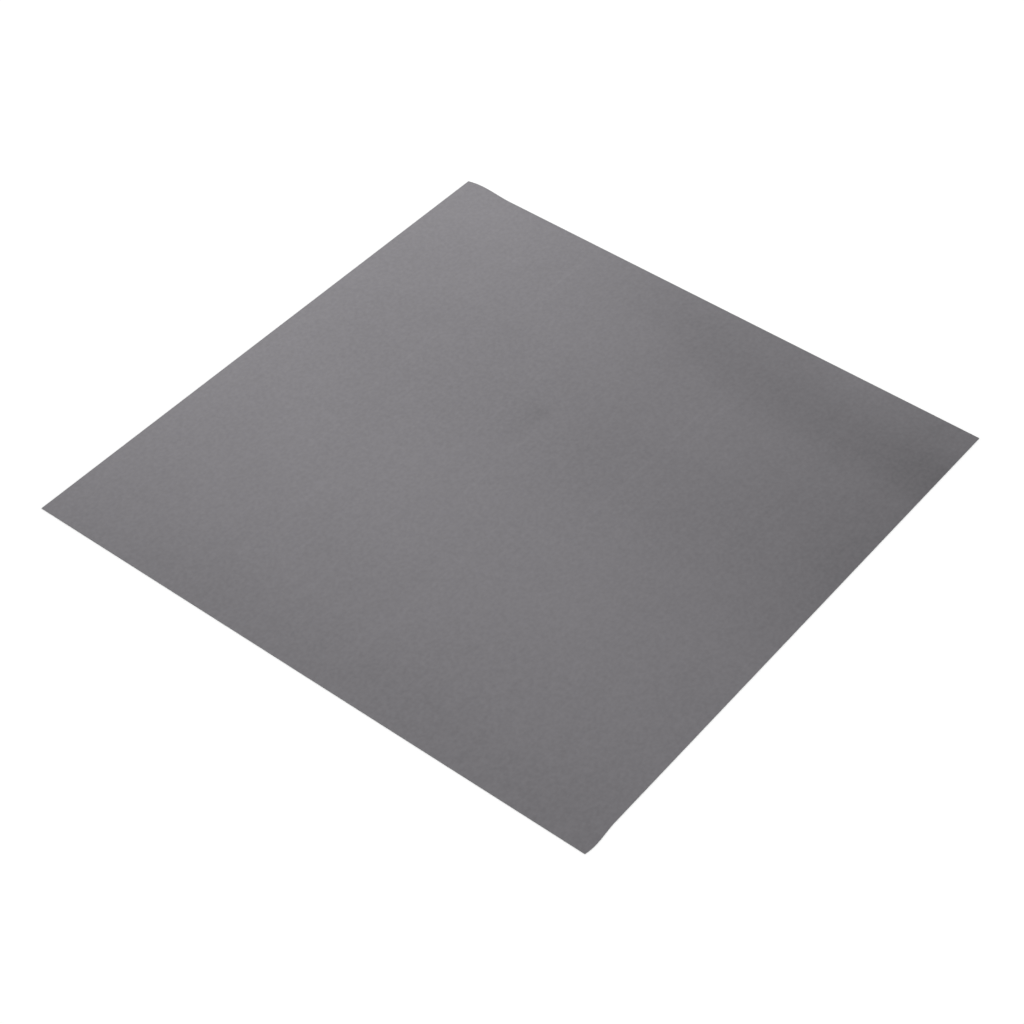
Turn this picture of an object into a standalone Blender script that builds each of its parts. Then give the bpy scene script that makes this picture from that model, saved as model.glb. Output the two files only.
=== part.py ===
"""Cold-rolled steel sheet: one plain, uncoated, square piece of flat stock.

Units are metres and +Z is up. The sheet lies flat with its underside on z = 0, and the origin is
the centre of its underside. The length runs along X and the width along Y, the rolling direction.

The sheet was cut on all four sides. Two of the cuts run slightly wide next to one corner each and
then come back to the straight line: the far side (+Y) next to the far left corner, and the right
side (+X) next to the near right corner. The other two sides are straight from corner to corner.
"""

import bpy

# The stock
LENGTH = 0.500
WIDTH = 0.500
THICKNESS = 0.0005

# The small rounding that the cut leaves along both faces' rims, in two flats
EDGE_ROUNDING = 0.00005
EDGE_ROUNDING_RESOLUTION = 1

# Where the far side runs wide, measured from the far left corner
FAR_SWELL_LENGTH = 0.045
FAR_SWELL_HEIGHT = 0.0020

# Where the right side runs wide, measured from the near right corner
RIGHT_SWELL_LENGTH = 0.033
RIGHT_SWELL_HEIGHT = 0.00125

# How many straight pieces stand for one swell's curve
SWELL_STEPS = 16

# A swell is a cubic with its four control points evenly spaced along the side. The one next to the
# corner lies outside the straight line, the other three on it, and this is how far outside it lies
# for each metre that the curve itself then reaches, a third of the way along
HANDLE_PER_HEIGHT = 9 / 4

# The finish: matt bare steel, slightly violet grey
STEEL_COLOUR = (0.190, 0.185, 0.195, 1.0)
STEEL_METALLIC = 1.0
STEEL_ROUGHNESS = 0.5

# Points closer than this are one point
WELD_DISTANCE = 0.000001


def clear_scene():
    for old in list(bpy.data.objects):
        bpy.data.objects.remove(old, do_unlink=True)


def steel_material():
    material = bpy.data.materials.new("bare_steel")
    material.use_nodes = True
    shader = material.node_tree.nodes["Principled BSDF"]
    shader.inputs["Base Color"].default_value = STEEL_COLOUR
    shader.inputs["Metallic"].default_value = STEEL_METALLIC
    shader.inputs["Roughness"].default_value = STEEL_ROUGHNESS
    material.diffuse_color = STEEL_COLOUR
    return material


def outline_points():
    """The outline's control points, anticlockwise seen from above, each as its place and its two
    handles. A handle of None points straight at the next point on that side."""
    left, right = -LENGTH / 2, LENGTH / 2
    near, far = -WIDTH / 2, WIDTH / 2

    right_bulge = (right + RIGHT_SWELL_HEIGHT * HANDLE_PER_HEIGHT, near + RIGHT_SWELL_LENGTH / 3)
    right_return = (right, near + RIGHT_SWELL_LENGTH * 2 / 3)
    far_bulge = (left + FAR_SWELL_LENGTH / 3, far + FAR_SWELL_HEIGHT * HANDLE_PER_HEIGHT)
    far_return = (left + FAR_SWELL_LENGTH * 2 / 3, far)

    return [
        ((left, near), None, None),
        ((right, near), None, right_bulge),
        ((right, near + RIGHT_SWELL_LENGTH), right_return, None),
        ((right, far), None, None),
        ((left + FAR_SWELL_LENGTH, far), None, far_return),
        ((left, far), far_bulge, None),
    ]


def sheet_curve():
    """The sheet's flat outline, filled and extruded to the full thickness with rounded rims."""
    curve = bpy.data.curves.new("steel_sheet", "CURVE")
    curve.dimensions = "2D"
    curve.fill_mode = "BOTH"
    curve.extrude = THICKNESS / 2 - EDGE_ROUNDING
    curve.bevel_depth = EDGE_ROUNDING
    curve.bevel_resolution = EDGE_ROUNDING_RESOLUTION
    curve.offset = -EDGE_ROUNDING
    curve.resolution_u = SWELL_STEPS

    points = outline_points()
    spline = curve.splines.new("BEZIER")
    spline.bezier_points.add(len(points) - 1)
    spline.use_cyclic_u = True
    for knot, (place, handle_in, handle_out) in zip(spline.bezier_points, points):
        knot.co = (*place, 0)
        knot.handle_left_type = "FREE" if handle_in else "VECTOR"
        knot.handle_right_type = "FREE" if handle_out else "VECTOR"
        if handle_in:
            knot.handle_left = (*handle_in, 0)
        if handle_out:
            knot.handle_right = (*handle_out, 0)
    return curve


def steel_sheet():
    """The finished sheet, lying with its underside on z = 0, its faces joined to its edges."""
    sheet = bpy.data.objects.new("steel_sheet", sheet_curve())
    sheet.location.z = THICKNESS / 2
    sheet.data.materials.append(steel_material())
    weld = sheet.modifiers.new("join_faces_to_edges", "WELD")
    weld.merge_threshold = WELD_DISTANCE
    return sheet


def build():
    clear_scene()
    collection = bpy.data.collections.new("steel_sheet")
    bpy.context.scene.collection.children.link(collection)
    collection.objects.link(steel_sheet())


build()
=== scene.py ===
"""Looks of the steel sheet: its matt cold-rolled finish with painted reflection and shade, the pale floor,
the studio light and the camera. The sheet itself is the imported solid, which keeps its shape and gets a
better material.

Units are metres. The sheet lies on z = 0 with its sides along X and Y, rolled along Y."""

import math

import bpy
from mathutils import Matrix, Vector


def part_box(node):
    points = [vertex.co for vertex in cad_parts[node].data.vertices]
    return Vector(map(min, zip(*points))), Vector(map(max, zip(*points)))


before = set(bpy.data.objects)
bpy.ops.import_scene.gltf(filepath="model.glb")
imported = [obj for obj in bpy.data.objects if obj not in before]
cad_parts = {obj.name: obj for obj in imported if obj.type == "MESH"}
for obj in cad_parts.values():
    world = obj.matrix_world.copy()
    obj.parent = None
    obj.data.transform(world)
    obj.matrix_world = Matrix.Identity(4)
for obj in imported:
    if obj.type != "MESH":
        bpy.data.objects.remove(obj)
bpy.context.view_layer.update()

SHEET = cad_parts["steel_sheet"]

# The sheet lies on z = 0, so its highest z is its thickness
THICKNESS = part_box("steel_sheet")[1][2]

# The photograph's view: an 86 mm lens on a 36 mm wide frame, from the near right and from 46 degrees
# up. The angles are in degrees, and the azimuth turns from -Y towards +X
VIEW_AZIMUTH = 37.36
VIEW_ELEVATION = 45.60
VIEW_DISTANCE = 1.805
VIEW_ROLL = 1.12
VIEW_AIM = (0.0213, -0.0354, 0.0)
LENS = 86.1
SENSOR = 36.0

# The studio: an even white room and floor, a wide lamp overhead and a softbox low behind the sheet.
# The lamps' powers are in watts
WHITE = (1.0, 1.0, 1.0, 1.0)
ROOM_LEVEL = 0.79
FLOOR_SIZE = 60.0

TOP_LAMP_PLACE = (0.9, -0.9, 2.2)
TOP_LAMP_SIZE = 1.6
TOP_LAMP_POWER = 13.0

BACK_LAMP_PLACE = (-0.94, 0.81, 0.81)
BACK_LAMP_SIZE = 0.93
BACK_LAMP_POWER = 3.50

# Bare steel, a slightly violet grey. Every tone below is a share of this colour's brightness
STEEL_COLOUR = (0.187, 0.181, 0.1915)
STEEL_ROUGHNESS = 0.50

# A place is on a face where its normal's Z is past this either way, and on the cut edge elsewhere
FACE_NORMAL_Z = 0.9

# The top face reads each noise this far above z = 0 and the underside this far below, so they differ
FACE_PATTERN_OFFSET = 0.37

# The rolled grain, in three sizes: how far apart its specks are, how strong they look, and how much
# longer than wide the rolling made them
FINE_GRAIN_SPACING = 0.0026
FINE_GRAIN_TONE = 0.115
COARSE_GRAIN_SPACING = 0.009
COARSE_GRAIN_TONE = 0.038
CLOUD_SPACING = 0.060
CLOUD_TONE = 0.030
GRAIN_STRETCH = 1.28

# The matt surface's own texture, too fine to show from afar and drawn out along Y
MATT_SPACING = 0.0004
MATT_STRETCH = 2.5
MATT_TONE = 0.04
MATT_ROUGHNESS = 0.03
MATT_HEIGHT = 0.000005

# Faint hairlines that the mill's rolls leave along Y
HAIRLINE_SPACING = 0.0030
HAIRLINE_STRETCH = 120.0
HAIRLINE_TONE = 0.046

# Lighter roll marks that show one by one: how far each reaches to either side of its middle, which
# share of its length each end takes to fade, and then for each its X, its two ends' Y and its tone
ROLL_MARK_REACH = 0.0022
ROLL_MARK_FADE_SHARE = 1 / 3
ROLL_MARKS = (
    (-0.147, -0.020, 0.110, 0.034),
    (-0.140, -0.165, 0.010, 0.018),
    (-0.110, 0.120, 0.262, 0.050),
    (-0.106, -0.262, -0.050, 0.029),
    (-0.075, -0.240, -0.010, 0.018),
    (-0.053, -0.040, 0.262, 0.026),
    (-0.045, -0.240, -0.060, 0.022),
    (-0.018, -0.080, 0.100, 0.026),
    (0.023, -0.262, 0.000, 0.031),
    (0.069, -0.060, 0.200, 0.036),
    (0.079, 0.085, 0.190, 0.036),
)

# Soft lighter and darker patches, partly mottling of the steel and partly painted reflection and shade of a
# surface that isn't quite flat: X and Y of the middle, reach along X, reach along Y, tone
PATCHES_OF_MOTTLE_AND_PAINTED_LIGHT = (
    (-0.230, 0.260, 0.190, 0.130, 0.043),
    # Painted reflection: lighter along the far side near the right corner
    (0.150, 0.264, 0.085, 0.055, 0.120),
    (-0.265, -0.190, 0.100, 0.120, 0.030),
    (-0.265, 0.020, 0.070, 0.280, 0.040),
    (-0.110, 0.055, 0.100, 0.160, -0.018),
    (0.020, 0.050, 0.090, 0.045, -0.015),
    (-0.050, -0.190, 0.160, 0.130, -0.031),
    (0.085, -0.190, 0.100, 0.080, -0.018),
    (0.170, -0.040, 0.170, 0.170, 0.029),
    (0.120, 0.130, 0.120, 0.060, 0.030),
    # Painted shade: darkest near the right corner
    (0.270, 0.195, 0.110, 0.062, -0.110),
    (0.270, 0.090, 0.080, 0.155, -0.075),
)

# The small dark smudge and its trail, described like the patches
SMUDGES = (
    (-0.028, 0.061, 0.014, 0.018, -0.075),
    (-0.030, 0.036, 0.011, 0.026, -0.030),
)

# Painted reflections: long faint swings of tone along Y, lighter and darker as a surface that isn't quite
# flat would reflect the lamps, stronger by SWING_GROWTH for each metre along X. They start at the lightest
# place nearer than SWING_DARKEST, and what lies still nearer is as light as that
SWING_LENGTH = 0.320
SWING_DARKEST = 0.060
PAINTED_SWING_TONE = 0.021
SWING_GROWTH = 0.03

# Painted shade: the darker band near the far side, where a slight bend in the real sheet reflects less
# light. Its middle line lies at one Y on the left and at a lower one on the right, and falls between two
# places along X. Its even core and its soft sides reach this far from that line. Along X its tone grows
# from nothing at BAND_START to all of it at BAND_FULL
BAND_LEFT_Y = 0.217
BAND_RIGHT_Y = 0.189
BAND_FALL_START = -0.040
BAND_FALL_END = 0.120
BAND_CORE = 0.006
BAND_REACH = 0.040
BAND_START = -0.09
BAND_FULL = 0.02
PAINTED_BAND_TONE = -0.058

# Painted shade: the darker strip along the near side, even up to one Y and gone at the next. Along X its
# tone grows from nothing at STRIP_START to all of it at STRIP_FULL
STRIP_EVEN_Y = -0.240
STRIP_END_Y = -0.178
STRIP_START = -0.25
STRIP_FULL = -0.13
PAINTED_STRIP_TONE = -0.055

# The surface isn't quite even: its roughness varies with the grain, and its height a little
GRAIN_ROUGHNESS = 0.02
WAVE_SPACING = 0.22
WAVE_HEIGHT = 0.0003
GRAIN_HEIGHT = 0.0000012

# The cut edge: which share of the thickness the blade burnished before the rest broke away, over
# which share the one changes into the other, and the fine lines that the blade drew down the edge
EDGE_COLOUR = (0.20, 0.20, 0.205)
BURNISHED_SHARE = 0.40
BURNISHED_CHANGE_SHARE = 0.10
BURNISHED_ROUGHNESS = 0.38
BROKEN_ROUGHNESS = 0.62
EDGE_LINE_SPACING = 0.0002
EDGE_LINE_STRETCH = 10.0
EDGE_LINE_TONE = 0.12
EDGE_LINE_HEIGHT = 0.000008


def studio_world():
    world = bpy.data.worlds.new("white_room")
    world.use_nodes = True
    background = world.node_tree.nodes["Background"]
    background.inputs["Color"].default_value = WHITE
    background.inputs["Strength"].default_value = ROOM_LEVEL
    bpy.context.scene.world = world


def studio_floor():
    bpy.ops.mesh.primitive_plane_add(size=FLOOR_SIZE, location=(0, 0, 0))
    floor = bpy.context.object
    floor.name = "floor"
    material = bpy.data.materials.new("white_floor")
    material.use_nodes = True
    shader = material.node_tree.nodes["Principled BSDF"]
    shader.inputs["Base Color"].default_value = WHITE
    shader.inputs["Roughness"].default_value = 1.0
    shader.inputs["Specular IOR Level"].default_value = 0.0
    floor.data.materials.append(material)


def softbox(name, place, size, power):
    """A square soft lamp at place, facing the sheet's middle, that the camera itself doesn't see."""
    lamp = bpy.data.lights.new(name, "AREA")
    lamp.shape = "SQUARE"
    lamp.size = size
    lamp.energy = power
    holder = bpy.data.objects.new(name, lamp)
    holder.location = place
    holder.rotation_euler = (-Vector(place)).to_track_quat("-Z", "Y").to_euler()
    holder.visible_camera = False
    bpy.context.scene.collection.objects.link(holder)


def photo_camera():
    """The camera at the photograph's view, aimed at a point on the floor and rolled a little."""
    azimuth = math.radians(VIEW_AZIMUTH)
    elevation = math.radians(VIEW_ELEVATION)
    back = Vector((
        math.sin(azimuth) * math.cos(elevation),
        -math.cos(azimuth) * math.cos(elevation),
        math.sin(elevation),
    ))
    data = bpy.data.cameras.new("photo_camera")
    data.lens = LENS
    data.sensor_width = SENSOR
    camera = bpy.data.objects.new("photo_camera", data)
    upright = (-back).to_track_quat("-Z", "Y").to_matrix().to_4x4()
    roll = Matrix.Rotation(math.radians(VIEW_ROLL), 4, "Z")
    camera.matrix_world = Matrix.Translation(Vector(VIEW_AIM) + back * VIEW_DISTANCE) @ upright @ roll
    bpy.context.scene.collection.objects.link(camera)
    bpy.context.scene.camera = camera


class Nodes:
    """Adds a material's shader nodes. A value is a number, a vector or another node's output."""

    # The places of a Mix node's colour sockets, which its number sockets' names hide
    COLOUR_FIRST = 6
    COLOUR_SECOND = 7
    COLOUR_RESULT = 2

    def __init__(self, tree):
        self.tree = tree

    def add(self, kind, sockets, **settings):
        node = self.tree.nodes.new(kind)
        for name, setting in settings.items():
            setattr(node, name, setting)
        for socket, value in sockets.items():
            self.plug(value, node.inputs[socket])
        return node

    def plug(self, value, socket):
        if isinstance(value, bpy.types.NodeSocket):
            self.tree.links.new(value, socket)
        else:
            socket.default_value = value

    def maths(self, operation, *values):
        return self.add("ShaderNodeMath", dict(enumerate(values)), operation=operation).outputs[0]

    def vector(self, operation, *values):
        node = self.add("ShaderNodeVectorMath", dict(enumerate(values)), operation=operation)
        return node.outputs["Value" if operation == "DISTANCE" else "Vector"]

    def total(self, values):
        result = values[0]
        for value in values[1:]:
            result = self.maths("ADD", result, value)
        return result

    def ramp(self, value, start, end, low=0.0, high=1.0):
        """low up to start, high from end on, and a soft change between."""
        sockets = {"Value": value, "From Min": start, "From Max": end, "To Min": low, "To Max": high}
        return self.add("ShaderNodeMapRange", sockets, interpolation_type="SMOOTHSTEP").outputs[0]

    def noise(self, place, spacing, detail=0.0):
        """Smooth random values from -1 to 1, specks about spacing apart and detail layers of finer ones."""
        sockets = {"Vector": place, "Scale": 1 / spacing, "Detail": detail}
        value = self.add("ShaderNodeTexNoise", sockets).outputs[0]
        return self.maths("MULTIPLY_ADD", value, 2.0, -1.0)

    def stretched(self, place, y=1.0, z=1.0):
        """Where to read a pattern, so that it comes out y and z times as long along Y and Z."""
        return self.vector("MULTIPLY", place, (1.0, 1 / y, 1 / z))

    def toned(self, colour, tone):
        """The colour, lighter by tone as a share of it, or darker where tone is negative."""
        sockets = {0: colour, "Scale": self.maths("ADD", tone, 1.0)}
        return self.add("ShaderNodeVectorMath", sockets, operation="SCALE").outputs["Vector"]

    def mix(self, factor, first, second):
        """A number, from first at a factor of 0 to second at 1."""
        sockets = {"Factor": factor, "A": first, "B": second}
        return self.add("ShaderNodeMix", sockets, data_type="FLOAT").outputs["Result"]

    def mix_colour(self, factor, first, second):
        """A colour, from first at a factor of 0 to second at 1."""
        sockets = {"Factor": factor, self.COLOUR_FIRST: first, self.COLOUR_SECOND: second}
        return self.add("ShaderNodeMix", sockets, data_type="RGBA").outputs[self.COLOUR_RESULT]


def roll_mark(nodes, x, y, mark):
    """One lighter line along Y, soft at its sides and at its ends."""
    across, start, end, tone = mark
    off = nodes.maths("ABSOLUTE", nodes.maths("SUBTRACT", x, across))
    line = nodes.ramp(off, 0.0, ROLL_MARK_REACH, tone, 0.0)
    fade = (end - start) * ROLL_MARK_FADE_SHARE
    rise = nodes.ramp(y, start, start + fade)
    fall = nodes.ramp(y, end - fade, end, 1.0, 0.0)
    return nodes.maths("MULTIPLY", line, nodes.maths("MULTIPLY", rise, fall))


def soft_patch(nodes, flat_place, patch):
    """An oval of full tone at its middle, which fades to nothing at its rim."""
    x, y, reach_x, reach_y, tone = patch
    scaled_place = nodes.vector("MULTIPLY", flat_place, (1 / reach_x, 1 / reach_y, 0.0))
    distance = nodes.vector("DISTANCE", scaled_place, (x / reach_x, y / reach_y, 0.0))
    return nodes.ramp(distance, 0.0, 1.0, tone, 0.0)


def painted_reflection_swing(nodes, x, y):
    """Painted reflections: the long swings of tone along Y that a surface not quite flat would show."""
    held_y = nodes.maths("MAXIMUM", y, SWING_DARKEST - SWING_LENGTH / 2)
    turn = nodes.maths("MULTIPLY", nodes.maths("SUBTRACT", held_y, SWING_DARKEST), math.tau / SWING_LENGTH)
    depth = nodes.maths("MULTIPLY_ADD", x, -SWING_GROWTH, -PAINTED_SWING_TONE)
    return nodes.maths("MULTIPLY", nodes.maths("COSINE", turn), depth)


def painted_shade_band(nodes, x, y):
    """Painted shade: the darker band near the far side."""
    middle = nodes.ramp(x, BAND_FALL_START, BAND_FALL_END, BAND_LEFT_Y, BAND_RIGHT_Y)
    off = nodes.maths("ABSOLUTE", nodes.maths("SUBTRACT", y, middle))
    across = nodes.ramp(off, BAND_CORE, BAND_REACH, 1.0, 0.0)
    return nodes.maths("MULTIPLY", across, nodes.ramp(x, BAND_START, BAND_FULL, 0.0, PAINTED_BAND_TONE))


def painted_shade_strip(nodes, x, y):
    """Painted shade: the darker strip along the near side."""
    across = nodes.ramp(y, STRIP_EVEN_Y, STRIP_END_Y, 1.0, 0.0)
    return nodes.maths("MULTIPLY", across, nodes.ramp(x, STRIP_START, STRIP_FULL, 0.0, PAINTED_STRIP_TONE))


def top_face_tone(nodes, place, flat_place):
    """What the top face alone shows, each mark and swing at its own place: roll marks, mottling and
    smudges, and painted reflection and shade.
    """
    x, y, _ = nodes.add("ShaderNodeSeparateXYZ", {0: place}).outputs
    tones = [roll_mark(nodes, x, y, mark) for mark in ROLL_MARKS]
    tones += [soft_patch(nodes, flat_place, patch) for patch in PATCHES_OF_MOTTLE_AND_PAINTED_LIGHT + SMUDGES]
    tones += [painted_reflection_swing(nodes, x, y), painted_shade_band(nodes, x, y), painted_shade_strip(nodes, x, y)]
    return nodes.total(tones)


def face_finish(nodes, place, normal, up):
    """Colour, roughness and height of the two faces, each with its own part of the same patterns."""
    flat_place = nodes.vector("MULTIPLY", place, (1.0, 1.0, 0.0))
    side = nodes.vector("MULTIPLY", normal, (0.0, 0.0, FACE_PATTERN_OFFSET))
    face_place = nodes.vector("ADD", flat_place, side)
    grain_place = nodes.stretched(face_place, y=GRAIN_STRETCH)

    fine = nodes.noise(grain_place, FINE_GRAIN_SPACING, detail=1.0)
    coarse = nodes.noise(grain_place, COARSE_GRAIN_SPACING, detail=1.0)
    cloud = nodes.noise(face_place, CLOUD_SPACING, detail=2.0)
    matt = nodes.noise(nodes.stretched(face_place, y=MATT_STRETCH), MATT_SPACING, detail=1.0)
    hairlines = nodes.noise(nodes.stretched(face_place, y=HAIRLINE_STRETCH), HAIRLINE_SPACING, detail=2.0)
    waves = nodes.noise(face_place, WAVE_SPACING)

    on_top = nodes.maths("GREATER_THAN", up, FACE_NORMAL_Z)
    tone = nodes.total([
        nodes.maths("MULTIPLY", fine, FINE_GRAIN_TONE),
        nodes.maths("MULTIPLY", coarse, COARSE_GRAIN_TONE),
        nodes.maths("MULTIPLY", cloud, CLOUD_TONE),
        nodes.maths("MULTIPLY", matt, MATT_TONE),
        nodes.maths("MULTIPLY", hairlines, HAIRLINE_TONE),
        nodes.maths("MULTIPLY", top_face_tone(nodes, place, flat_place), on_top),
    ])
    roughness = nodes.total([
        nodes.maths("MULTIPLY_ADD", coarse, GRAIN_ROUGHNESS, STEEL_ROUGHNESS),
        nodes.maths("MULTIPLY", hairlines, GRAIN_ROUGHNESS),
        nodes.maths("MULTIPLY", matt, MATT_ROUGHNESS),
    ])
    height = nodes.total([
        nodes.maths("MULTIPLY", waves, WAVE_HEIGHT),
        nodes.maths("MULTIPLY", fine, GRAIN_HEIGHT),
        nodes.maths("MULTIPLY", matt, MATT_HEIGHT),
    ])
    return nodes.toned(STEEL_COLOUR, tone), roughness, height


def edge_finish(nodes, place):
    """Colour, roughness and height of the cut edge, burnished above and broken below."""
    z = nodes.add("ShaderNodeSeparateXYZ", {0: place}).outputs["Z"]
    burnished_from = THICKNESS * (1 - BURNISHED_SHARE)
    broken_up_to = burnished_from - THICKNESS * BURNISHED_CHANGE_SHARE
    roughness = nodes.ramp(z, broken_up_to, burnished_from, BROKEN_ROUGHNESS, BURNISHED_ROUGHNESS)

    lines = nodes.noise(nodes.stretched(place, z=EDGE_LINE_STRETCH), EDGE_LINE_SPACING, detail=2.0)
    colour = nodes.toned(EDGE_COLOUR, nodes.maths("MULTIPLY", lines, EDGE_LINE_TONE))
    return colour, roughness, nodes.maths("MULTIPLY", lines, EDGE_LINE_HEIGHT)


def steel_material():
    material = bpy.data.materials.new("cold_rolled_steel")
    material.use_nodes = True
    nodes = Nodes(material.node_tree)
    shader = material.node_tree.nodes["Principled BSDF"]

    place = nodes.add("ShaderNodeTexCoord", {}).outputs["Object"]
    normal = nodes.add("ShaderNodeNewGeometry", {}).outputs["True Normal"]
    up = nodes.add("ShaderNodeSeparateXYZ", {0: normal}).outputs["Z"]
    on_edge = nodes.maths("LESS_THAN", nodes.maths("ABSOLUTE", up), FACE_NORMAL_Z)
    face_colour, face_roughness, face_height = face_finish(nodes, place, normal, up)
    edge_colour, edge_roughness, edge_height = edge_finish(nodes, place)
    height = nodes.mix(on_edge, face_height, edge_height)
    bump = nodes.add("ShaderNodeBump", {"Strength": 1.0, "Distance": 1.0, "Height": height})

    nodes.plug(nodes.mix_colour(on_edge, face_colour, edge_colour), shader.inputs["Base Color"])
    nodes.plug(nodes.mix(on_edge, face_roughness, edge_roughness), shader.inputs["Roughness"])
    nodes.plug(bump.outputs[0], shader.inputs["Normal"])
    shader.inputs["Metallic"].default_value = 1.0
    return material


SHEET.material_slots[0].material = steel_material()
studio_world()
studio_floor()
softbox("top_lamp", TOP_LAMP_PLACE, TOP_LAMP_SIZE, TOP_LAMP_POWER)
softbox("back_lamp", BACK_LAMP_PLACE, BACK_LAMP_SIZE, BACK_LAMP_POWER)
photo_camera()
bpy.context.scene.view_settings.view_transform = "Standard"
